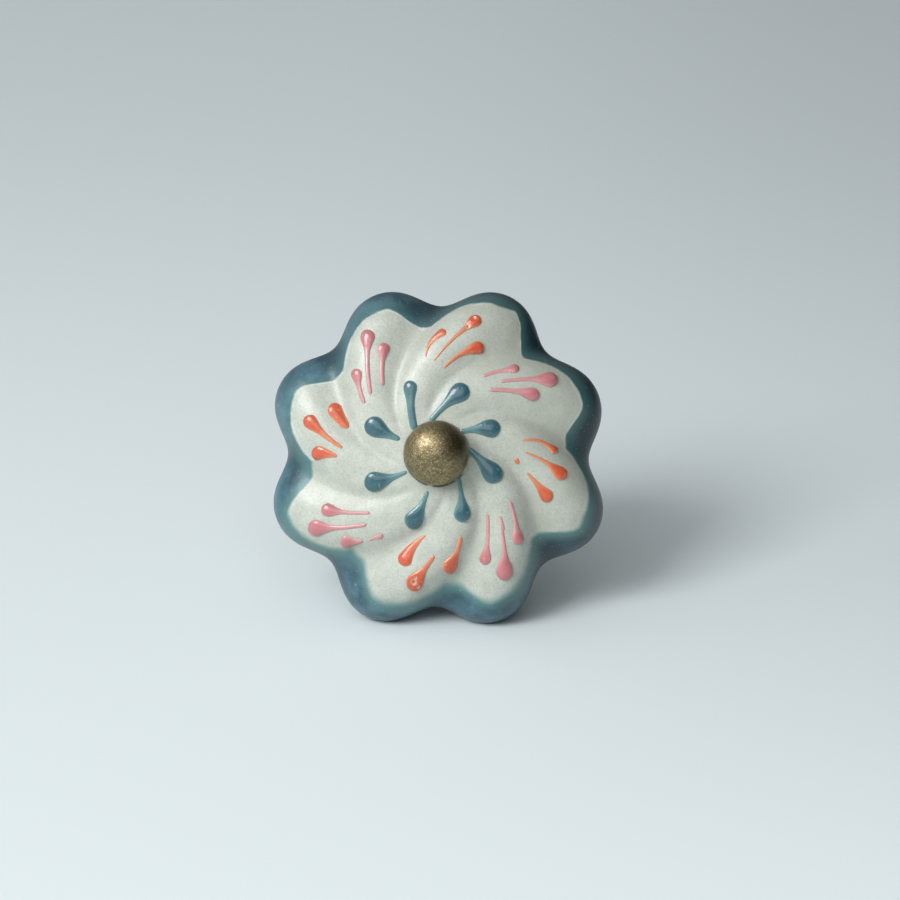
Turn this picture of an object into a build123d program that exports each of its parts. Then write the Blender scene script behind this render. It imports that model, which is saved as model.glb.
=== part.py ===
"""Ceramic cabinet knob: a head of eight swirled petals, clamped on a ball-headed brass bolt."""

import os
from collections import namedtuple
from math import acos, cos, pi, radians, sin, sqrt

from build123d import *

# Driving dimensions, in millimetres. Heights are measured from the drawer front towards the room.

# Ceramic head
petal_count = 8
rim_diameter = 42.0  # across the tips of two opposite petals
rim_height = 15.0
petal_depth = 3.0  # crest to groove at the rim, square to the surface
petal_fullness = 0.1  # share by which a petal's arch is fuller than a plain wave
flute_fade = 1.25  # how quickly the grooves run out towards the crown and the foot
dome_height = 9.5
dome_fullness = 2.3  # 2 is an ellipse, more is flatter on top
crown_diameter = 8.4  # flat that the bolt's head sits on
swirl_turn = radians(87)  # turn that a petal would have made at the very centre
swirl_power = 1.6  # above 1, so that petals leave the rim square to it
foot_diameter = 18.0
foot_edge = 0.5

# Ball-headed bolt
head_diameter = 7.6
head_rise = 2.6  # crown to the centre of the ball
shank_diameter = 3.5
thread_diameter = 4.0
thread_reach = 32.0  # behind the drawer front's face
thread_lead_in = 0.6

# Washer and nut in the foot
washer_diameter = 9.0
washer_hole = 4.3
washer_thickness = 0.8
nut_across_flats = 7.0
nut_height = 3.2
nut_corner_angle = radians(30)

# Clearances
bore_clearance = 0.55  # round the shank
recess_clearance = 1.0  # round the washer
nut_clearance = 1.2  # nut to drawer front
thread_clearance = 0.2  # nut to the start of the full thread

# Sizes that follow
rim_radius = rim_diameter / 2
foot_radius = foot_diameter / 2
crown_radius = crown_diameter / 2
crown_share = (crown_radius / rim_radius) ** (dome_fullness / 2)
crown_angle = acos(crown_share)
crown_height = rim_height + dome_height * sin(crown_angle) ** (2 / dome_fullness)
petal_pitch = 2 * pi / petal_count
recess_depth = nut_clearance + nut_height + washer_thickness

drawer_front = Plane.XZ  # its normal points to the room, along -Y

os.makedirs("parts", exist_ok=True)


# Ceramic head: a petal's back and face are lofted through arches, then repeated round the axis

back_rings = 9
front_rings = 14
ring_crowding = 0.85  # below 1, so that rings lie closer where the petals turn most
arch_steps = 8

Ring = namedtuple("Ring", "radius height outward upward depth turn")


def back_ring(rise):
    """A ring of the bell-shaped back, from the foot at rise 0 to the rim at rise 1."""
    swell = (1 - cos(pi * rise)) / 2
    bell_width = rim_radius - foot_radius
    slope = bell_width * pi / 2 * sin(pi * rise) / rim_height
    length = sqrt(1 + slope**2)
    return Ring(
        radius=foot_radius + bell_width * swell,
        height=rim_height * rise,
        outward=1 / length,
        upward=-slope / length,
        depth=petal_depth * swell**flute_fade,
        turn=0,
    )


def front_ring(angle):
    """A ring of the domed face, from the rim at angle 0 to the crown at crown_angle."""
    radius = rim_radius * cos(angle) ** (2 / dome_fullness)
    height = rim_height + dome_height * sin(angle) ** (2 / dome_fullness)
    outward = cos(angle) ** (2 - 2 / dome_fullness) / rim_radius
    upward = sin(angle) ** (2 - 2 / dome_fullness) / dome_height
    length = sqrt(outward**2 + upward**2)
    run_out = max((radius - crown_radius) / (rim_radius - crown_radius), 0)
    return Ring(
        radius=radius,
        height=height,
        outward=outward / length,
        upward=upward / length,
        depth=petal_depth * run_out**flute_fade,
        turn=swirl_turn * (1 - radius / rim_radius) ** swirl_power,
    )


def arch(ring):
    """One petal's arch on a ring, from a groove over the crest to the next groove."""
    shares = [step / arch_steps for step in range(arch_steps + 1)]
    points = []
    for share in shares:
        wave = sin(pi * share) ** 2 + petal_fullness * sin(2 * pi * share) ** 2
        sink = ring.depth * (1 - wave)
        radius = ring.radius - sink * ring.outward
        height = ring.height - sink * ring.upward
        angle = petal_pitch * share - ring.turn
        points.append((radius * sin(angle), -height, radius * cos(angle)))
    ends = [-ring.turn, petal_pitch - ring.turn]
    tangents = [(cos(end), 0, -sin(end)) for end in ends]
    return Wire(Edge.make_spline(points, tangents=tangents, parameters=shares))


rises = [step / back_rings for step in range(back_rings)]
angles = [crown_angle * (step / front_rings) ** ring_crowding for step in range(front_rings + 1)]
rim_arch = arch(front_ring(0))
back_arches = [arch(back_ring(rise)) for rise in rises] + [rim_arch]
front_arches = [rim_arch] + [arch(front_ring(angle)) for angle in angles[1:]]
petal_back = Shell.make_loft(back_arches).face()
petal_face = Shell.make_loft(front_arches).face()

turns = [360 * k / petal_count for k in range(petal_count)]
petals = [face.rotate(Axis.Y, turn) for turn in turns for face in (petal_back, petal_face)]
levels = ShapeList(edge for face in petals for edge in face.edges()).group_by(Axis.Y)
crown_face = Face(Wire(levels[0]))
foot_face = Face(Wire(levels[-1]))

with BuildPart() as ceramic_knob:
    add(Solid(Shell([*petals, crown_face, foot_face])))
    with BuildSketch(Plane.XY):
        with BuildLine():
            Polyline(
                (foot_radius - foot_edge, 0),
                (foot_radius + foot_edge, 0),
                (foot_radius + foot_edge, -2 * foot_edge),
                close=True,
            )
        make_face()
    revolve(axis=Axis.Y, mode=Mode.SUBTRACT)
    with Locations(-drawer_front):
        CounterBoreHole(
            radius=shank_diameter / 2 + bore_clearance,
            counter_bore_radius=washer_diameter / 2 + recess_clearance,
            counter_bore_depth=recess_depth,
        )

ceramic_knob.part.label = "ceramic_knob"
export_step(ceramic_knob.part, "parts/ceramic_knob.step")


# Ball-headed bolt, turned in one piece: ball, plain shank, thread at its full diameter behind the nut

thread_start = nut_clearance - thread_clearance
head_radius = head_diameter / 2
head_seat_radius = sqrt(head_radius**2 - head_rise**2)
ball_height = crown_height + head_rise

with BuildPart() as ball_head_bolt:
    with BuildSketch(Plane.XY):
        with BuildLine():
            ThreePointArc(
                (0, -ball_height - head_radius),
                (head_radius, -ball_height),
                (head_seat_radius, -crown_height),
            )
            Polyline(
                (head_seat_radius, -crown_height),
                (shank_diameter / 2, -crown_height),
                (shank_diameter / 2, -thread_start),
                (thread_diameter / 2, -thread_start),
                (thread_diameter / 2, thread_reach - thread_lead_in),
                (thread_diameter / 2 - thread_lead_in, thread_reach),
                (0, thread_reach),
                (0, -ball_height - head_radius),
            )
        make_face()
    revolve(axis=Axis.Y)

ball_head_bolt.part.label = "ball_head_bolt"
export_step(ball_head_bolt.part, "parts/ball_head_bolt.step")


# Washer, against the top of the recess

with BuildPart() as retaining_washer:
    with BuildSketch(drawer_front.offset(recess_depth - washer_thickness)):
        Circle(washer_diameter / 2)
        Circle(washer_hole / 2, mode=Mode.SUBTRACT)
    extrude(amount=washer_thickness)

retaining_washer.part.label = "retaining_washer"
export_step(retaining_washer.part, "parts/retaining_washer.step")


# Hexagon nut, its corners turned down on the side away from the washer

nut_radius = nut_across_flats / 2
nut_corner_radius = nut_radius / cos(pi / 6)
corner_drop = (nut_corner_radius - nut_radius) * sin(nut_corner_angle) / cos(nut_corner_angle)

with BuildPart() as retaining_nut:
    with BuildSketch(drawer_front.offset(nut_clearance)):
        RegularPolygon(nut_radius, 6, major_radius=False)
    extrude(amount=nut_height)
    with BuildSketch(Plane.XY):
        with BuildLine():
            Polyline(
                (0, -nut_clearance),
                (nut_radius, -nut_clearance),
                (nut_corner_radius, -nut_clearance - corner_drop),
                (nut_corner_radius, -nut_clearance - nut_height),
                (0, -nut_clearance - nut_height),
                close=True,
            )
        make_face()
    revolve(axis=Axis.Y, mode=Mode.INTERSECT)
    with BuildSketch(drawer_front.offset(nut_clearance)):
        Circle(shank_diameter / 2)
    extrude(amount=nut_height, mode=Mode.SUBTRACT)

retaining_nut.part.label = "retaining_nut"
export_step(retaining_nut.part, "parts/retaining_nut.step")
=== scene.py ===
"""A swirled ceramic cabinet knob on its ball-headed brass bolt, lying on a pale studio floor."""

from collections import namedtuple

import bpy
import numpy as np
from mathutils import Matrix, Vector


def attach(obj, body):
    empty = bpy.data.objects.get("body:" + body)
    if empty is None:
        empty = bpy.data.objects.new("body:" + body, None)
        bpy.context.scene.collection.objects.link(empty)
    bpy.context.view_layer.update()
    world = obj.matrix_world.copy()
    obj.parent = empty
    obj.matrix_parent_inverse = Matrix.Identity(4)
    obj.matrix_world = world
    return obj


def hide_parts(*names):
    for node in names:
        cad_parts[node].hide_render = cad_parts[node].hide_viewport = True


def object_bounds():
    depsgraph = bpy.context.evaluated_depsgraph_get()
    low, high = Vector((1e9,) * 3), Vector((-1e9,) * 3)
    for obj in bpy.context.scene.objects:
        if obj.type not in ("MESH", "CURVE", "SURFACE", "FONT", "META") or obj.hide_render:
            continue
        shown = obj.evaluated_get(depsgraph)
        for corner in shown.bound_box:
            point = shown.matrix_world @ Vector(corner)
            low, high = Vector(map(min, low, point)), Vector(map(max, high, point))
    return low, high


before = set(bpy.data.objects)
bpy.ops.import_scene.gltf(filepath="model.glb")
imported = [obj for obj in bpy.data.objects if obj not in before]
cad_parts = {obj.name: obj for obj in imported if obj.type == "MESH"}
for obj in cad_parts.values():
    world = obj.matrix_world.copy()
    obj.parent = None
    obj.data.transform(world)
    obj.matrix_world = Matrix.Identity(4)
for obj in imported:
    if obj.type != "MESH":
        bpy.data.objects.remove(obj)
cad_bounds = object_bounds()

# Ceramic head
# One pressed piece of stoneware: eight petals that swirl in from the rim, a waisted back and a
# round foot with a recess for the nut. It is dipped in cream glaze, and its rim is brushed with
# slate blue before the second firing.

# Sizes are in millimetres, and heights are measured from the drawer front towards the room
MM = 0.001
petal_count = 8
petal_pitch = 2 * np.pi / petal_count
rim_radius, rim_height = 21.0, 15.0
petal_depth, petal_fullness, flute_fade = 3.0, 0.1, 1.25
dome_height, dome_fullness = 9.5, 2.3
crown_radius = 4.2
swirl_turn, swirl_power = np.radians(87), 1.6
foot_radius, foot_edge = 9.0, 0.5
bore_radius, recess_radius, recess_depth = 2.3, 5.5, 5.2

# A crease along the bottom of each groove near the crown
crease_depth, crease_sharpness = 0.2, 5
crease_start, crease_end = 4.4, 16.0
crease_run_in, crease_run_out = 1.5, 6.0

# How far each petal falls short of the full rim, clockwise from the one right of the top groove
petal_shortfall = np.array([0.05, 0.45, 0.0, 0.0, 0.0, 0.25, 0.15, 0.25])

# Rings round the axis: radius, height, the outward and upward parts of the normal, the depth of
# the grooves, the turn of the petals and the depth of the creases
Rings = namedtuple("Rings", "radius height outward upward depth turn crease")


def petal_wave(share):
    """Height of a petal's arch, 0 in its grooves and 1 on its crest.

    It is a squared sine over the petal's width, made fuller by a second one of twice the rate.
    """
    return np.sin(np.pi * share) ** 2 + petal_fullness * np.sin(2 * np.pi * share) ** 2


def face_rings(angle):
    """Rings of the face, on a superellipse from the rim at angle 0 in towards the crown.

    Grooves run out by a power towards the crown, petals turn by a power of the way in from the
    rim, and creases run out evenly at both ends.
    """
    cosine = np.maximum(np.cos(angle), 0)
    radius = rim_radius * cosine ** (2 / dome_fullness)
    height = rim_height + dome_height * np.sin(angle) ** (2 / dome_fullness)
    outward = cosine ** (2 - 2 / dome_fullness) / rim_radius
    upward = np.sin(angle) ** (2 - 2 / dome_fullness) / dome_height
    length = np.hypot(outward, upward)
    run_out = np.maximum((radius - crown_radius) / (rim_radius - crown_radius), 0)
    depth = petal_depth * run_out**flute_fade
    turn = swirl_turn * (1 - radius / rim_radius) ** swirl_power
    crease_in = np.clip((radius - crease_start) / crease_run_in, 0, 1)
    crease_out = np.clip((crease_end - radius) / crease_run_out, 0, 1)
    crease = crease_depth * crease_in * crease_out
    return Rings(radius, height, outward / length, upward / length, depth, turn, crease)


def back_rings(rise):
    """Rings of the back: a half cosine wave from the foot at rise 0 out to the rim at rise 1."""
    swell = (1 - np.cos(np.pi * rise)) / 2
    slope = (rim_radius - foot_radius) * np.pi / 2 * np.sin(np.pi * rise) / rim_height
    length = np.hypot(1, slope)
    radius = foot_radius + (rim_radius - foot_radius) * swell
    depth = petal_depth * swell**flute_fade
    zero = 0 * rise
    return Rings(radius, rim_height * rise, 1 / length, -slope / length, depth, zero, zero)


def plain_rings(start, end, count):
    """Rings without grooves on a straight line, from one (radius, height) towards the next."""
    share = np.arange(count) / count
    radius = start[0] + (end[0] - start[0]) * share
    height = start[1] + (end[1] - start[1]) * share
    zero = 0 * share
    return Rings(radius, height, zero, zero, zero, zero, zero)


def sink_at(rings, share):
    """How far the surface lies below the full rings, at a share of a petal's width.

    It is the groove's depth times what the petal's arch lacks there, the crease times a high
    power of the same, and the petal's own shortfall on its crest.
    """
    wave = petal_wave(share)
    lack = np.clip(1 - wave, 0, 1)
    petal = np.floor(share).astype(int) % petal_count
    shortfall = petal_shortfall[petal] * (1 - lack) * rings.depth / petal_depth
    return rings.depth * (1 - wave) + rings.crease * lack**crease_sharpness + shortfall


def head_points(rings, angle):
    """Points of rings at angles clockwise from the top, each sunk along its inward normal."""
    sink = sink_at(rings, (angle + rings.turn) / petal_pitch)
    radius = rings.radius - sink * rings.outward
    height = rings.height - sink * rings.upward
    return np.stack([radius * np.sin(angle), -height, radius * np.cos(angle)], axis=-1) * MM


def add_mesh(name, points, *face_arrays):
    """A smooth mesh object at the origin from points and arrays of quads or triangles."""
    faces = [face for array in face_arrays for face in array.tolist()]
    mesh = bpy.data.meshes.new(name)
    mesh.from_pydata(points.reshape(-1, 3), [], faces)
    mesh.polygons.foreach_set("use_smooth", np.full(len(faces), True))
    mesh.update()
    piece = bpy.data.objects.new(name, mesh)
    bpy.context.scene.collection.objects.link(piece)
    return piece


def grid_faces(rows, columns, closed_rows):
    """Quads of a grid whose columns close on themselves, and its rows too where asked."""
    row = np.arange(rows if closed_rows else rows - 1)[:, None]
    column = np.arange(columns)[None, :]
    next_row = (row + 1) % rows
    next_column = (column + 1) % columns
    corners = [row * columns + column, row * columns + next_column]
    corners += [next_row * columns + next_column, next_row * columns + column]
    return np.stack(np.broadcast_arrays(*corners), axis=-1).reshape(-1, 4)


crown_angle = np.arccos((crown_radius / rim_radius) ** (dome_fullness / 2))
crown_height = rim_height + dome_height * np.sin(crown_angle) ** (2 / dome_fullness)
head_sides = 512
face_steps, back_steps = 92, 44
bore_steps, crown_steps, edge_steps, foot_steps, recess_steps = 4, 6, 3, 6, 4
face_crowding = 0.9  # below 1, so that rings lie closer where the petals turn most
inward = crown_angle * (1 - np.arange(face_steps) / face_steps) ** face_crowding
downward = 1 - np.arange(back_steps) / back_steps * (1 - foot_edge / rim_height)
bore_top, bore_end = (bore_radius, crown_height), (bore_radius, recess_depth)
crown_edge = (crown_radius, crown_height)
foot_side, foot_bottom = (foot_radius, foot_edge), (foot_radius - foot_edge, 0)
recess_mouth, recess_corner = (recess_radius, 0), (recess_radius, recess_depth)
sections = [
    plain_rings(bore_end, bore_top, bore_steps),
    plain_rings(bore_top, crown_edge, crown_steps),
    face_rings(inward),
    back_rings(downward),
    plain_rings(foot_side, foot_bottom, edge_steps),
    plain_rings(foot_bottom, recess_mouth, foot_steps),
    plain_rings(recess_mouth, recess_corner, recess_steps),
    plain_rings(recess_corner, bore_end, recess_steps),
]
head_rings = Rings(*[np.concatenate(values)[:, None] for values in zip(*sections)])
around = np.linspace(0, 2 * np.pi, head_sides, endpoint=False)[None, :]
head_grid = head_points(head_rings, around)
ceramic = add_mesh("glazed_head", head_grid, grid_faces(len(head_grid), head_sides, True))

# Where the blue begins: far out on each petal's crest, further in along each groove, and at one
# height on the back. The brush is turned in towards the next groove at a share of each petal.
blue_on_crest = np.array([19.2, 18.2, 18.6, 18.1, 18.2, 18.8, 18.4, 18.4])
blue_in_groove = np.array([15.1, 15.4, 15.1, 14.7, 14.8, 14.9, 14.9, 14.9])
blue_turn_in = np.array([0.68, 0.61, 0.64, 0.6, 0.57, 0.58, 0.6, 0.61])
blue_sweep, blue_turn = 0.55, 0.3
blue_lag = np.radians(4)
blue_on_back = 9.0
crisp_above, soft_below = 6.0, -14.0  # heights at which the brush was full and ran dry


def blue_border(angle):
    """Radius of the blue's inner edge on the face.

    It is a quarter sine out from a groove to the crest, then a quick smooth turn in.
    """
    share = (angle + blue_lag) / petal_pitch
    petal = np.floor(share).astype(int) % petal_count
    nearest_groove = np.round(share).astype(int) % petal_count
    sweep = np.sin(np.pi / 2 * np.clip(share % 1 / blue_sweep, 0, 1))
    turn = np.clip((share % 1 - blue_turn_in[petal]) / blue_turn, 0, 1)
    arch = sweep * (1 - turn**2 * (3 - 2 * turn))
    groove = blue_in_groove[nearest_groove]
    return groove + (blue_on_crest[petal] - groove) * arch


def keep_on_points(piece, name, values):
    """Stores one number for each point of a piece, for its material to read."""
    attribute = piece.data.attributes.new(name, "FLOAT", "POINT")
    attribute.data.foreach_set("value", values.astype(np.float32).ravel())


from_axis = np.hypot(head_grid[..., 0], head_grid[..., 2]) / MM
from_drawer = -head_grid[..., 1] / MM
on_face = from_drawer > rim_height
blue_depth = np.where(on_face, from_axis - blue_border(around), from_drawer - blue_on_back)
dryness = (crisp_above - head_grid[..., 2] / MM) / (crisp_above - soft_below)
groove_share = 1 - petal_wave((around + head_rings.turn) / petal_pitch)
keep_on_points(ceramic, "blue_depth", blue_depth)
keep_on_points(ceramic, "groove", groove_share * np.sqrt(head_rings.depth / petal_depth))
keep_on_points(ceramic, "dry_brush", np.clip(dryness, 0, 1))
keep_on_points(ceramic, "from_axis", from_axis)


class Value:
    """A socket of a material's node tree, so that shading maths reads as plain arithmetic."""

    def __init__(self, tree, socket):
        self.tree = tree
        self.socket = socket

    def node(self, kind, output, settings=(), **sockets):
        """A new node of any kind, with its settings and the values or links of its sockets.

        A socket goes by its name, with spaces as underscores, or by an underscore and its number.
        """
        made = self.tree.nodes.new(kind)
        for key, value in dict(settings).items():
            setattr(made, key, value)
        for key, value in sockets.items():
            socket = made.inputs[int(key[1:]) if key.startswith("_") else key.replace("_", " ")]
            if isinstance(value, Value):
                self.tree.links.new(value.socket, socket)
            else:
                socket.default_value = value
        return Value(self.tree, made.outputs[output])

    def math(self, operation, first, second):
        """One step of arithmetic."""
        return self.node("ShaderNodeMath", 0, {"operation": operation}, _0=first, _1=second)

    def __add__(self, other):
        return self.math("ADD", self, other)

    def __sub__(self, other):
        return self.math("SUBTRACT", self, other)

    def __rsub__(self, other):
        return self.math("SUBTRACT", other, self)

    def __mul__(self, other):
        return self.math("MULTIPLY", self, other)

    __radd__ = __add__
    __rmul__ = __mul__

    def step(self, low, high):
        """0 below low and 1 above high, with a smooth rise between."""
        settings = {"interpolation_type": "SMOOTHSTEP"}
        return self.node("ShaderNodeMapRange", 0, settings, _0=self, _1=low, _2=high)

    def noise(self, scale, detail, roughness=0.5):
        """Fractal noise at this place, from 0 to 1 about a half, with scale waves to the metre."""
        sockets = {"Scale": scale, "Detail": detail, "Roughness": roughness}
        return self.node("ShaderNodeTexNoise", 0, Vector=self, **sockets)

    def along(self, direction):
        """How far this place lies along a direction."""
        settings = {"operation": "DOT_PRODUCT"}
        return self.node("ShaderNodeVectorMath", "Value", settings, _0=self, _1=direction)

    def mix(self, first, second):
        """A colour between two, by this value."""
        return self.node("ShaderNodeMix", 2, {"data_type": "RGBA"}, _0=self, _6=first, _7=second)

    def kept(self, name):
        """A number that the piece keeps on its points."""
        return self.node("ShaderNodeAttribute", "Fac", {"attribute_name": name})

    def bump(self, strength, distance):
        """A surface normal that follows this height."""
        return self.node("ShaderNodeBump", 0, Height=self, Strength=strength, Distance=distance)


def colour(red, green, blue):
    """A colour from 0 to 255 as seen on a screen, turned into the linear light of a shader."""
    seen = np.array([red, green, blue]) / 255
    linear = np.where(seen > 0.04045, ((seen + 0.055) / 1.055) ** 2.4, seen / 12.92)
    return (*linear.tolist(), 1.0)


def new_finish(name):
    """A material, its surface shader, and the place on the piece as a value to paint by."""
    material = bpy.data.materials.new(name)
    material.use_nodes = True
    tree = material.node_tree
    shader = tree.nodes["Principled BSDF"]
    place = Value(tree, tree.nodes.new("ShaderNodeTexCoord").outputs["Object"])
    return material, shader, place


def paint(shader, **sockets):
    """Gives the shader's sockets their values or links, named with spaces as underscores."""
    tree = shader.id_data
    for key, value in sockets.items():
        socket = shader.inputs[key.replace("_", " ")]
        if isinstance(value, Value):
            tree.links.new(value.socket, socket)
        else:
            socket.default_value = value


cream_shade, cream_light = colour(177, 182, 172), colour(191, 196, 187)
grain_grey, speck_brown = colour(151, 154, 142), colour(120, 116, 98)
border_highlight_white, groove_painted_shade = colour(216, 222, 218), colour(156, 161, 146)
cream_painted_shade, seat_shade_and_grime = colour(160, 164, 151), colour(46, 42, 33)
blue_shade, blue_light = colour(36, 70, 82), colour(78, 115, 130)
blue_painted_shade, thin_blue = colour(17, 42, 50), colour(90, 131, 128)
speck_blue = colour(160, 184, 190)
glaze_shade_direction = (0.9, 0, 0.45)  # up to the right, the side that painted shade darkens
shade_and_grime_full, shade_and_grime_gone = 3.85, 4.05  # from the axis, just outside the ball's outline

glaze, glaze_shader, place = new_finish("cream_and_blue_glaze")
groove = place.kept("groove")
dry_brush = place.kept("dry_brush")
glaze_shaded_side = place.along(glaze_shade_direction)
brush_marks = (place.noise(900, 3) - 0.5) * 0.3 + (place.noise(180, 1) - 0.5) * 0.6
in_blue = place.kept("blue_depth") + brush_marks
blue_cover = (in_blue * (1 - dry_brush * 0.75)).step(-0.1, 0.25)

cream = place.noise(420, 4, 0.6).step(0.3, 0.75).mix(cream_shade, cream_light)
grain = place.noise(4600, 4, 0.7).step(0.42, 0.7)
cream = (grain * 0.65).mix(cream, grain_grey)
specks = place.noise(2600, 0).step(0.81, 0.84)
cream = (specks * 0.4).mix(cream, speck_brown)
# Painted highlight: a thin pale line on the cream along the blue's inner edge, strongest where the
# brush was full.
border_highlight = in_blue.step(-0.4, -0.1) * (1 - dry_brush) * place.noise(420, 2).step(0.42, 0.62)
cream = (border_highlight * 0.4).mix(cream, border_highlight_white)
# Painted shade: the cream is darker along the grooves.
cream = (groove.step(0.25, 0.95) * 0.4).mix(cream, groove_painted_shade)
# Painted shade: the cream is darkened towards the upper right.
cream = (glaze_shaded_side.step(0.003, 0.02) * 0.5).mix(cream, cream_painted_shade)
# Painted shade and grime: a thin dark ring on the cream just outside the ball, where it overhangs
# its seat.
at_seat = 1 - place.kept("from_axis").step(shade_and_grime_full, shade_and_grime_gone)
seat_shade_and_grime_mask = at_seat * place.noise(700, 3).step(0.35, 0.55)
cream = (seat_shade_and_grime_mask * 0.85).mix(cream, seat_shade_and_grime)

blue = place.noise(300, 4, 0.6).step(0.3, 0.7).mix(blue_shade, blue_light)
# Painted shade: the blue is darker along the grooves.
blue_groove_shade = groove.step(0.3, 1.0) * 0.4
# Painted shade: the blue is darkened towards the upper right, and along the grooves.
blue = (glaze_shaded_side.step(-0.008, 0.02) * 0.95 + blue_groove_shade).mix(blue, blue_painted_shade)
thinned = (1 - in_blue.step(0.0, 2.4)) * (dry_brush * 0.6 + 0.4)
blue = thinned.mix(blue, thin_blue)
pale_specks = place.noise(4200, 0).step(0.79, 0.83)
blue = (pale_specks * 0.4).mix(blue, speck_blue)

glaze_height = blue_cover * 0.5 + place.noise(700, 2) * 0.25 + place.noise(3000, 1) * 0.12
paint(
    glaze_shader,
    Base_Color=blue_cover.mix(cream, blue),
    Roughness=0.4 - blue_cover * 0.04 + place.noise(1400, 2) * 0.1,
    Normal=glaze_height.bump(0.5, 0.0004),
    Coat_Weight=0.12,
    Coat_Roughness=0.2,
)
ceramic.data.materials.append(glaze)
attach(ceramic, "root")
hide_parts("ceramic_knob")

# Drops of slip
# Thick coloured slip trailed from a nozzle before the last firing: a round head where the nozzle
# is set down, and a tail where it is drawn away towards the crown. Three colours, each standing
# proud of the glaze it is fused to.

drop_rings, drop_sides = 64, 32
bell_reach = 1.4  # of the head's radius, over which the head falls to the tail
taper_power = 1.3
rounded_end = 1.5  # of the tail's half width
swell_power = 0.8  # below 1, so that narrow strokes stand up well
sunk_share = 0.4  # of the height, that lies below the glaze
bubble_depth = 0.85  # of the height, that a burst bubble takes away
ring_corrections = 12
inside_rim = 0.9999  # largest share of the rim's radius, so that a place stays on the face
nudge = 0.05  # step over which the face's slope is measured

# Bubbles that burst in the kiln: places right of and above the axis, and radii
bubbles = np.array(
    [
        (3.3, 15.2, 0.27),
        (4.05, 16.1, 0.17),
        (-2.5, -15.0, 0.3),
        (-2.05, -15.5, 0.18),
        (-2.3, -14.5, 0.16),
    ]
)


def face_height(x, z):
    """Height of the face over a place in its plan, in millimetres.

    The ring is found by repeated correction of its radius for what the grooves take away.
    """
    radius = np.hypot(x, z)
    angle = np.arctan2(x, z)
    ring_radius = radius
    for _ in range(ring_corrections):
        share = np.clip(ring_radius / rim_radius, 0, inside_rim)
        rings = face_rings(np.arccos(share ** (dome_fullness / 2)))
        sink = sink_at(rings, (angle + rings.turn) / petal_pitch)
        ring_radius = radius + sink * rings.outward
    return np.minimum(rings.height - sink * rings.upward, crown_height)


def face_place(x, z):
    """Point and outward normal of the face over a place in its plan, all in millimetres.

    The normal comes from the heights a little to the side and a little above.
    """
    height = face_height(x, z)
    slope_x = (face_height(x + nudge, z) - height) / nudge
    slope_z = (face_height(x, z + nudge) - height) / nudge
    normal = np.stack([-slope_x, -np.ones_like(height), -slope_z], axis=-1)
    normal /= np.linalg.norm(normal, axis=-1, keepdims=True)
    return np.stack([x, -height, z], axis=-1), normal


def drop_points(head, tail, width, tail_width, flow, bend, rise):
    """A teardrop on the face: a half ellipse across, wide at its round head and thin at its tail.

    Along the drop the half width is a quarter circle behind the head's centre. It then falls to
    the tail's, by a bell curve as wide as the head where flow is 0, and by an even taper over the
    whole length where it is 1. The middle line is bent aside by half a sine. The drop closes in a
    rounded end, its lower half is sunk in the glaze, and a burst bubble leaves a bell-shaped
    hollow in it. Returns the points, and the height and the share of a bubble at each.
    """
    head, tail = np.array(head), np.array(tail)
    length = np.linalg.norm(tail - head)
    along = (tail - head) / length
    across = np.array([along[1], -along[0]])
    radius, thin = width / 2, tail_width / 2
    travel = -np.cos(np.pi * np.arange(1, drop_rings) / drop_rings) / 2 + 0.5
    run = -radius + (length + radius) * travel
    share = np.clip(run / length, 0, 1)
    bell = np.exp(-((np.maximum(run, 0) / (bell_reach * radius)) ** 2))
    taper = (1 - share) ** taper_power
    body = thin + (radius - thin) * ((1 - flow) * bell + flow * taper)
    behind = np.sqrt(np.clip(1 - (np.minimum(run, 0) / radius) ** 2, 0, 1))
    end_length = rounded_end * thin
    closing = np.clip((run - (length - end_length)) / end_length, 0, 1)
    half = body * behind * np.sqrt(np.clip(1 - closing**2, 0, 1))
    side = np.linspace(0, 2 * np.pi, drop_sides, endpoint=False)
    aside = bend * length * np.sin(np.pi * share)
    offset = half[:, None] * np.cos(side) + aside[:, None]
    plan = head + run[:, None, None] * along + offset[..., None] * across
    ends = np.stack([head - radius * along, tail])
    plan = np.concatenate([plan.reshape(-1, 2), ends])
    profile = np.where(np.sin(side) > 0, np.sin(side), sunk_share * np.sin(side))
    lift = rise * half[:, None] ** swell_power * profile
    lift = np.concatenate([lift.ravel(), [0, 0]])
    apart = np.linalg.norm(plan[:, None, :] - bubbles[None, :, :2], axis=-1)
    burst = np.exp(-((apart / bubbles[:, 2]) ** 2)).max(axis=1)
    lift = np.where(lift > 0, lift * (1 - bubble_depth * burst), lift)
    point, normal = face_place(plan[:, 0], plan[:, 1])
    return (point + normal * lift[:, None]) * MM, lift, burst


def tube_faces(rings, sides):
    """Quads of a tube, and the triangles that close it on two end points after its rings."""
    side = np.arange(sides)
    following = (side + 1) % sides
    last = (rings - 1) * sides
    first_point = np.full(sides, rings * sides)
    first_cap = np.stack([following, side, first_point], axis=-1)
    last_cap = np.stack([last + side, last + following, first_point + 1], axis=-1)
    return grid_faces(rings, sides, False), np.concatenate([first_cap, last_cap])


def add_drops(name, strokes, rise, finish):
    """All the drops of one colour as one piece."""
    drops = [drop_points(*stroke, rise) for stroke in strokes]
    points, lifts, bursts = map(np.stack, zip(*drops))
    first_corner = np.arange(len(strokes))[:, None, None] * points.shape[1]
    quads, caps = tube_faces(drop_rings - 1, drop_sides)
    quads = (first_corner + quads).reshape(-1, 4)
    caps = (first_corner + caps).reshape(-1, 3)
    piece = add_mesh(name, points, quads, caps)
    keep_on_points(piece, "slip_depth", lifts / lifts.max())
    keep_on_points(piece, "burst", bursts)
    piece.data.materials.append(finish)
    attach(piece, "root")


bubble_edge, bubble_floor = colour(228, 186, 164), colour(104, 62, 52)


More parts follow.
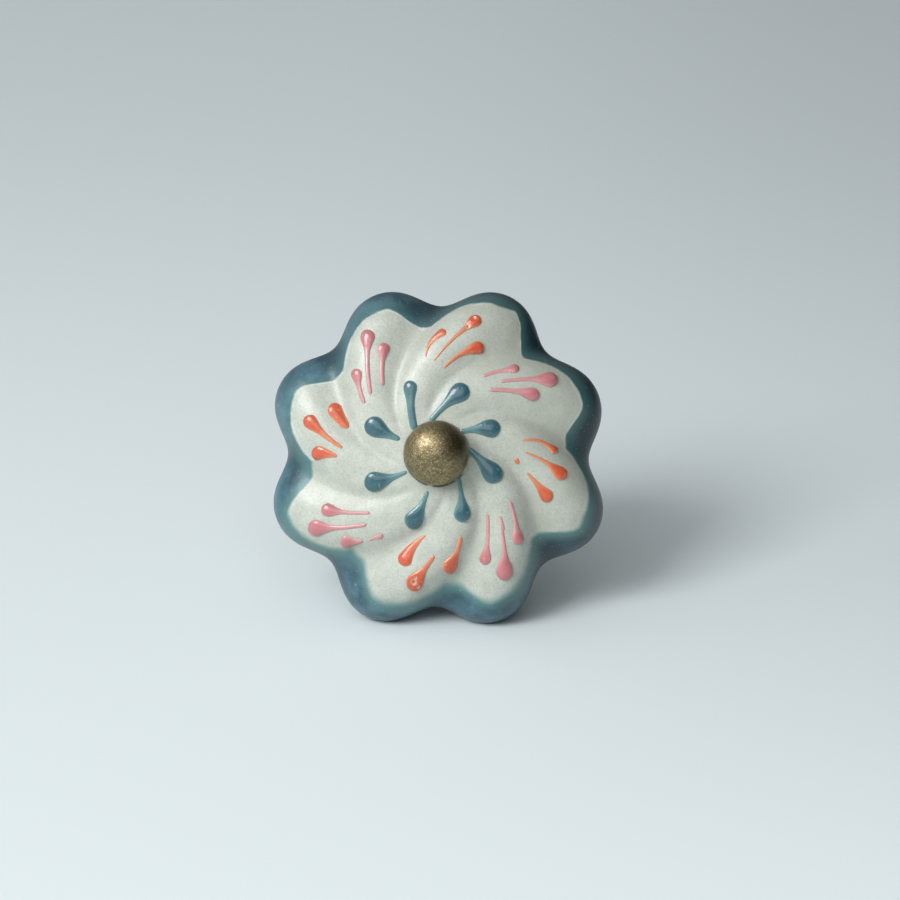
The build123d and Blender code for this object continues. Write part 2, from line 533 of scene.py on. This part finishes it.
def slip_finish(name, thick, thin):
    """Glossy slip of one colour, paler where it lies thin, with pinholes and burst bubbles."""
    material, shader, place = new_finish(name)
    cloud = place.noise(800, 3)
    pinholes = place.noise(2600, 0).step(0.74, 0.8)
    burst = place.kept("burst")
    body = (cloud * 0.5 + place.kept("slip_depth")).step(0.35, 1.0)
    slip = (body * (1 - pinholes * 0.5)).mix(thin, thick)
    slip = (burst.step(0.1, 0.4) * 0.6).mix(slip, bubble_edge)
    slip = (burst.step(0.5, 0.8) * 0.7).mix(slip, bubble_floor)
    paint(
        shader,
        Base_Color=slip,
        Roughness=0.22 + cloud * 0.14,
        Normal=(cloud * 0.5 + place.noise(2400, 2) * 0.5 - pinholes).bump(0.4, 0.0002),
        Coat_Weight=0.5,
        Coat_Roughness=0.1,
    )
    return material


# Strokes: head and tail right of and above the axis, the widths of head and tail, how the width
# flows from one to the other, and the share of the length by which the stroke is bent aside.
# All blue strokes flow and bend alike, and so do all pink ones.
blue_flow_and_bend = (0.05, 0.03)
blue_strokes = [
    ((-3.3, 7.8), (-2.7, 2.7), 1.6, 0.9),
    ((2.6, 7.3), (-0.9, 3.8), 2.3, 0.7),
    ((6.3, 3.1), (2.6, 2.6), 2.2, 0.6),
    ((6.6, -2.2), (3.6, 0.7), 2.4, 0.8),
    ((3.1, -7.0), (2.5, -2.4), 2.0, 0.5),
    ((-2.6, -7.8), (-1.0, -4.4), 2.2, 0.5),
    ((-7.3, -3.4), (-3.5, -2.2), 2.4, 0.5),
    ((-7.4, 3.1), (-4.4, 1.6), 2.4, 0.6),
]
blue_strokes = [(*stroke, *blue_flow_and_bend) for stroke in blue_strokes]
pink_flow_and_bend = (0.1, 0.03)
pink_strokes = [
    ((-8.5, 13.8), (-8.0, 6.9), 1.7, 0.5),
    ((-6.6, 12.4), (-6.6, 8.0), 1.4, 0.5),
    ((-9.7, 9.3), (-8.7, 5.8), 1.3, 0.5),
    ((8.9, 10.3), (5.2, 9.3), 1.1, 0.4),
    ((13.1, 9.1), (7.3, 8.7), 1.8, 0.4),
    ((11.1, 7.3), (6.0, 7.7), 1.6, 0.5),
    ((5.9, -12.2), (6.1, -7.0), 1.4, 0.4),
    ((8.2, -13.7), (7.8, -8.8), 2.0, 0.4),
    ((7.9, -8.6), (7.6, -7.2), 0.5, 0.3),
    ((9.7, -9.8), (8.7, -5.4), 1.4, 0.4),
    ((-12.8, -6.8), (-7.8, -7.1), 1.6, 0.4),
    ((-14.2, -8.9), (-8.2, -8.5), 1.9, 0.4),
    ((-10.6, -10.5), (-8.6, -10.4), 1.4, 0.4),
    ((-6.5, -9.8), (-7.9, -10.3), 0.6, 0.3),
]
pink_strokes = [(*stroke, *pink_flow_and_bend) for stroke in pink_strokes]
orange_strokes = [
    ((0.3, 14.4), (-1.6, 11.4), 1.0, 0.2, 0.9, 0.14),
    ((4.15, 15.9), (-0.6, 11.0), 1.5, 0.2, 0.35, 0.04),
    ((4.5, 12.7), (0.6, 10.2), 1.6, 0.3, 0.4, 0.08),
    ((13.7, 0.8), (10.1, 1.8), 1.0, 0.3, 0.4, 0.13),
    ((14.6, -2.0), (10.4, 0.4), 1.6, 0.2, 0.45, 0.05),
    ((13.0, -4.6), (10.7, -2.0), 1.6, 0.3, 0.6, 0.0),
    ((9.4, -0.6), (9.7, -1.0), 0.6, 0.4, 0.5, 0.0),
    ((-3.5, -12.4), (-1.2, -9.6), 1.8, 0.3, 1.0, -0.07),
    ((-2.4, -15.2), (-0.1, -12.0), 2.0, 0.5, 0.0, 0.0),
    ((1.7, -13.2), (3.0, -9.7), 1.7, 0.5, 0.05, 0.06),
    ((-12.2, 5.0), (-10.6, 2.9), 1.8, 1.0, 0.9, 0.03),
    ((-15.1, 3.6), (-11.2, 0.5), 1.7, 0.4, 0.5, 0.03),
    ((-14.0, -0.1), (-11.8, -0.5), 1.7, 0.4, 0.7, -0.05),
]
blue_slip = slip_finish("blue_slip", colour(50, 90, 101), colour(104, 146, 147))
pink_slip = slip_finish("pink_slip", colour(183, 113, 117), colour(198, 147, 146))
orange_slip = slip_finish("orange_slip", colour(195, 86, 55), colour(208, 138, 103))
blue_rise, pink_rise, orange_rise = 0.56, 0.6, 0.52  # heights of drops that are 2 mm wide
add_drops("blue_drops", blue_strokes, blue_rise, blue_slip)
add_drops("pink_drops", pink_strokes, pink_rise, pink_slip)
add_drops("orange_drops", orange_strokes, orange_rise, orange_slip)

# Ball-headed bolt
# Turned from brass in one piece: a ball on a flat seat, a plain shank through the ceramic, and an
# M4 thread that goes through the drawer front. It is darkened in a bath and rubbed back, so its
# high spots are brighter, and its upper right side is darkened further as painted shade.

head_radius, head_rise = 3.8, 2.6
shank_radius, thread_radius = 1.75, 2.0
thread_start, thread_reach, lead_in = 1.0, 32.0, 0.6
thread_pitch, thread_cut = 0.7, 0.38
thread_run = 1.0  # length over which the thread comes to its full depth
plain_end = 0.5  # left uncut at the tip
bolt_sides, ball_rings, thread_rings = 64, 47, 420
ball_height = crown_height + head_rise


def bolt_points():
    """Rings from the top of the ball to the thread's end, each with its radius and height.

    The thread is a triangle wave of the height less the turn round the axis, cut into the full
    radius, and it runs out at both ends.
    """
    seat_angle = np.arccos(-head_rise / head_radius)
    polar = np.linspace(0, seat_angle, ball_rings + 1)[1:]
    thread_heights = np.linspace(thread_start, -thread_reach + lead_in, thread_rings)
    thread_radii = np.full(thread_rings, thread_radius)
    shank_radii, end_radius = [shank_radius, shank_radius], [thread_radius - lead_in]
    shank_heights, end_height = [crown_height, thread_start], [-thread_reach]
    ball_radii = head_radius * np.sin(polar)
    ball_heights = ball_height + head_radius * np.cos(polar)
    radius = np.concatenate([ball_radii, shank_radii, thread_radii, end_radius])
    height = np.concatenate([ball_heights, shank_heights, thread_heights, end_height])
    turn = np.linspace(0, 2 * np.pi, bolt_sides, endpoint=False)[None, :]
    phase = (height[:, None] / thread_pitch + turn / (2 * np.pi)) % 1
    run_in = np.clip((thread_start - height) / thread_run, 0, 1)
    run_out = np.clip((height + thread_reach - plain_end) / thread_run, 0, 1)
    cut = thread_cut * np.abs(2 * phase - 1) * (run_in * run_out)[:, None]
    r = radius[:, None] - cut
    h = np.broadcast_to(height[:, None], r.shape)
    return np.stack([r * np.sin(turn), -h, r * np.cos(turn)], axis=-1) * MM


bolt_grid = bolt_points()
bolt_ends = np.array([[0, -(ball_height + head_radius), 0], [0, thread_reach, 0]]) * MM
bolt_vertices = np.concatenate([bolt_grid.reshape(-1, 3), bolt_ends])
bolt = add_mesh("brass_bolt", bolt_vertices, *tube_faces(len(bolt_grid), bolt_sides))

brass_shade, brass_light = colour(115, 99, 63), colour(167, 153, 113)
pit_brown, spark_white = colour(59, 51, 34), colour(240, 236, 220)
brass_painted_shade, edge_tint = colour(52, 44, 28), colour(220, 212, 188)
brass_shade_direction = (0.9, 0, 0.44)  # up to the right, the side that painted shade darkens

brass, brass_shader, place = new_finish("antique_brass")
rubbed = place.noise(2600, 4, 0.7).step(0.35, 0.7)
pits = place.noise(5200, 2, 0.6).step(0.52, 0.68)
sparks = place.noise(7000, 1).step(0.6, 0.72)
# Painted shade: the brass is darkened towards the upper right.
brass_shaded_side = place.along(brass_shade_direction).step(0.0002, 0.0036)
metal = rubbed.mix(brass_shade, brass_light)
metal = (pits * 0.65).mix(metal, pit_brown)
metal = (sparks * 0.6).mix(metal, spark_white)
metal = (brass_shaded_side * 0.72).mix(metal, brass_painted_shade)
paint(
    brass_shader,
    Base_Color=metal,
    Metallic=1.0,
    Roughness=0.42 + pits * 0.16 - rubbed * 0.06,
    Normal=(place.noise(4600, 3) - pits * 0.8).bump(0.45, 0.0001),
    Specular_Tint=edge_tint,
    Coat_Weight=0.5,
    Coat_Roughness=0.3,
)
bolt.data.materials.append(brass)
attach(bolt, "root")
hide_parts("ball_head_bolt")

# Washer and nut
# Pressed and cut from steel and bright zinc plated. They sit in the foot's recess and clamp the
# ceramic to the ball.

zinc_shade, zinc_light = colour(176, 178, 176), colour(206, 206, 200)
scratch_stretch = (1.0, 0.08, 1.0)  # scratches run along the axis

zinc, zinc_shader, place = new_finish("zinc_plate")
cloudy = place.noise(1200, 4)
stretched = place.node("ShaderNodeMapping", 0, Vector=place, Scale=scratch_stretch)
paint(
    zinc_shader,
    Base_Color=cloudy.mix(zinc_shade, zinc_light),
    Metallic=0.95,
    Roughness=0.26 + cloudy * 0.16,
    Normal=stretched.noise(6000, 2).bump(0.2, 0.0001),
)
for node in ("retaining_washer", "retaining_nut"):
    metal_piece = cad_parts[node]
    metal_piece.data.materials.clear()
    metal_piece.data.materials.append(zinc)

# Studio floor
# A sheet of pale card. The knob lies on two of its petals and on the end of its bolt, so in the
# knob's own frame the floor slopes up towards the back. Seen from underneath it is clear, so that
# it hides nothing.

floor_gap = 0.05
floor_half = 1600.0
lower_petal = np.array([-rim_height, cad_bounds[0][2] / MM])
bolt_end = np.array([thread_reach, -thread_radius])
floor_slope = np.arctan2(bolt_end[1] - lower_petal[1], bolt_end[0] - lower_petal[0])
floor_right = Vector((1, 0, 0))
floor_back = Vector((0, np.cos(floor_slope), np.sin(floor_slope)))
contact = Vector((0, lower_petal[0], lower_petal[1] - floor_gap)) * MM
corners = np.array([(-1, -1), (1, -1), (1, 1), (-1, 1)]) * floor_half * MM
floor_points = np.array(contact) + corners @ np.array([floor_right, floor_back])
floor = add_mesh("floor", floor_points, np.array([[0, 1, 2, 3]]))

card_light, card_painted_shade = colour(232, 241, 243), colour(198, 206, 210)
card, card_shader, place = new_finish("pale_card")
behind_knob = place.along(floor_back) - contact.dot(floor_back)
# Painted shade: the card is darker further back and towards the right.
far = behind_knob.step(0.03, 0.25)
right = place.along(floor_right).step(-0.03, 0.08) * behind_knob.step(-0.1, 0.03)
paint(
    card_shader,
    Base_Color=(far * 0.28 + right * 0.42).mix(card_light, card_painted_shade),
    Roughness=0.75,
    Specular_IOR_Level=0.2,
)
tree = card.node_tree
opaque = Value(tree, card_shader.outputs[0])
clear = place.node("ShaderNodeBsdfTransparent", 0)
underside = place.node("ShaderNodeNewGeometry", "Backfacing")
shown = place.node("ShaderNodeMixShader", 0, _0=underside, _1=opaque, _2=clear)
tree.links.new(shown.socket, tree.nodes["Material Output"].inputs["Surface"])
floor.data.materials.append(card)

# Studio light
# A broad lamp in front to the left, screened from reflections, a card higher up that shows only
# in reflections, a weak lamp far to the left, a soft one over the front, and a room that is bright
# up to the left. Distances and sizes are in metres.

knob_middle = Vector((0, -rim_height, 0)) * MM


def add_lamp(name, toward, distance, size, power):
    """A square soft lamp on a line out from the knob, facing it."""
    lamp = bpy.data.lights.new(name, "AREA")
    lamp.size = size
    lamp.energy = power
    lamp_piece = bpy.data.objects.new(name, lamp)
    direction = Vector(toward).normalized()
    lamp_piece.location = knob_middle + direction * distance
    lamp_piece.rotation_euler = direction.to_track_quat("Z", "Y").to_euler()
    bpy.context.scene.collection.objects.link(lamp_piece)
    return lamp_piece


key_lamp = add_lamp("key_lamp", (-0.49, -0.825, 0.28), distance=1.1, size=0.45, power=9.6)
key_lamp.visible_glossy = False
add_lamp("side_lamp", (-0.85, -0.5, 0.15), distance=1.2, size=0.8, power=1.4)
add_lamp("front_lamp", (-0.06, -0.94, 0.33), distance=1.2, size=0.9, power=3.9)
glint_card = add_lamp("glint_card", (-0.6, -0.54, 0.59), distance=1.1, size=0.55, power=11.0)
glint_card.visible_diffuse = False

window = Vector((-0.7, -0.2, 0.68))
room_shade, room_light = colour(28, 30, 31), colour(246, 252, 254)
room_strength = 0.37
room = bpy.data.worlds.new("room")
room.use_nodes = True
room_tree = room.node_tree
outlook = Value(room_tree, room_tree.nodes.new("ShaderNodeTexCoord").outputs["Generated"])
room_colour = outlook.along(window).step(-0.45, 0.8).mix(room_shade, room_light)
room_glow = room_tree.nodes["Background"]
room_tree.links.new(room_colour.socket, room_glow.inputs["Color"])
room_glow.inputs["Strength"].default_value = room_strength
bpy.context.scene.world = room

# Camera
# A long lens almost in line with the knob, a little below its axis and to the right, and turned
# by a degree. Lengths are in metres, apart from the place it aims at.

camera_distance = 0.6
view_width = 0.1077
camera_right, camera_below, camera_roll = np.radians([1.0, 2.0, 1.1])
aim_right, aim_up = 1.376, 0.8
aim = knob_middle + Vector((aim_right, 0, aim_up)) * MM
camera_out = Vector(
    (
        np.sin(camera_right) * np.cos(camera_below),
        -np.cos(camera_right) * np.cos(camera_below),
        -np.sin(camera_below),
    )
)
camera_data = bpy.data.cameras.new("camera")
camera_data.sensor_width = 36.0
camera_data.lens = camera_data.sensor_width * camera_distance / view_width
camera_data.clip_start = 0.01
camera = bpy.data.objects.new("camera", camera_data)
turned = camera_out.to_track_quat("Z", "Y").to_matrix() @ Matrix.Rotation(camera_roll, 3, "Z")
camera.matrix_world = Matrix.Translation(aim + camera_out * camera_distance) @ turned.to_4x4()
bpy.context.scene.collection.objects.link(camera)
bpy.context.scene.camera = camera
bpy.context.scene.view_settings.view_transform = "Standard"
